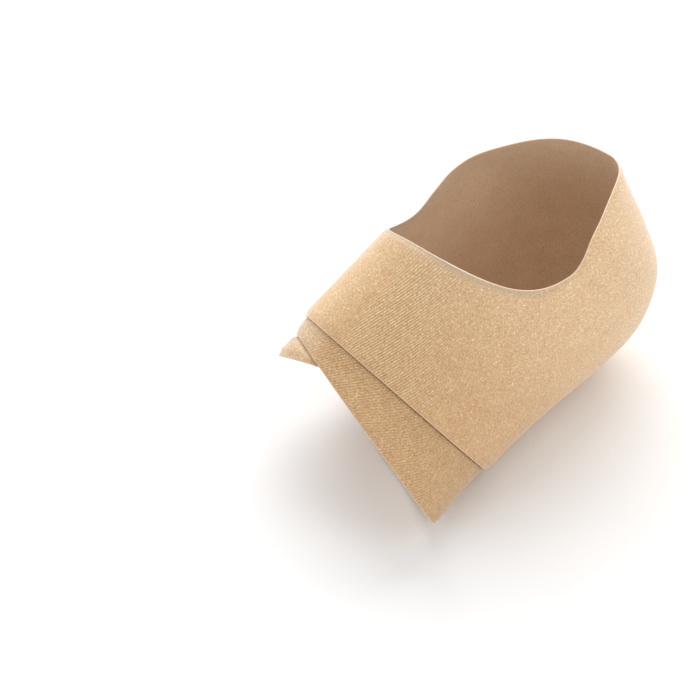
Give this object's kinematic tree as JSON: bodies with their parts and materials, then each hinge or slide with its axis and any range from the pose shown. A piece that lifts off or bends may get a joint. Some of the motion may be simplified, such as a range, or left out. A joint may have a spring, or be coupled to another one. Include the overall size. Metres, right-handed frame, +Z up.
{
  "type": "tarsal support wrap",
  "caption": "Stretch-knit foot support in its worn shape: a heel sleeve with an ankle collar and slanted front edge, pulled over a band wound round the midfoot.",
  "frame": {"origin": "the foot's seat, on the inner face of the sleeve's sole under the ankle", "axes": "+X towards the toes, +Y to the outer side of the left foot, +Z up"},
  "size_m": [0.1492, 0.0867, 0.0919],
  "materials": {
    "sleeve_knit": "satin beige rib knit",
    "band_knit": "satin beige rib knit",
    "hook_patch": "matt beige hook fabric"
  },
  "bodies": {
    "root": {"heel_sleeve": "sleeve_knit", "arch_band": "band_knit", "hook_tab": "hook_patch"}
  },
  "joints": []
}
